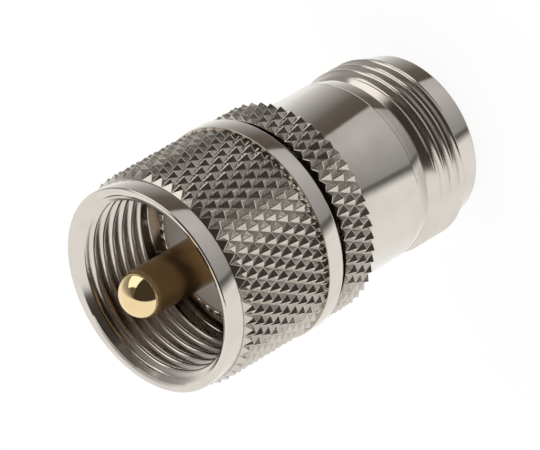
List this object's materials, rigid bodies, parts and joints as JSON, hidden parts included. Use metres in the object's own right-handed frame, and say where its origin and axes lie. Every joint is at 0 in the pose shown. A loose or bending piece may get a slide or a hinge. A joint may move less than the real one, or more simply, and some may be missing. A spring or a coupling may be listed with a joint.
{
  "type": "coaxial adapter",
  "caption": "Straight coaxial adapter: a pin plug with a knurled, free-turning coupling nut on one end and an externally threaded socket on the other.",
  "frame": {"origin": "middle of the socket's end face, on which the adapter stands", "axes": "+Z along the common axis, from the socket end to the plug's pin; X and Y are square to it"},
  "size_m": [0.0184, 0.0184, 0.0333],
  "materials": {
    "body_nickel": "bright nickel plating over turned brass",
    "nut_nickel": "bright nickel plating over knurled brass",
    "ring_bronze": "plain spring bronze",
    "pin_gold": "bright gold plating",
    "contact_gold": "bright gold plating",
    "white_insulator": "smooth white fluoropolymer"
  },
  "bodies": {
    "adapter_body": {"main_body": "body_nickel", "plug_pin": "pin_gold", "socket_contact": "contact_gold", "plug_insulator": "white_insulator", "socket_insulator": "white_insulator"},
    "nut_ring": {"retaining_ring": "ring_bronze"},
    "nut": {"coupling_nut": "nut_nickel"}
  },
  "joints": [
    {"name": "nut_slide", "type": "slide", "parent": "adapter_body", "child": "nut_ring", "axis": [0, 0, 1], "range_m": [0, 0.0012]},
    {"name": "nut_spin", "type": "hinge", "parent": "nut_ring", "child": "nut", "pos_m": [0, 0, 0.0246], "axis": [0, 0, 1], "continuous": true}
  ]
}
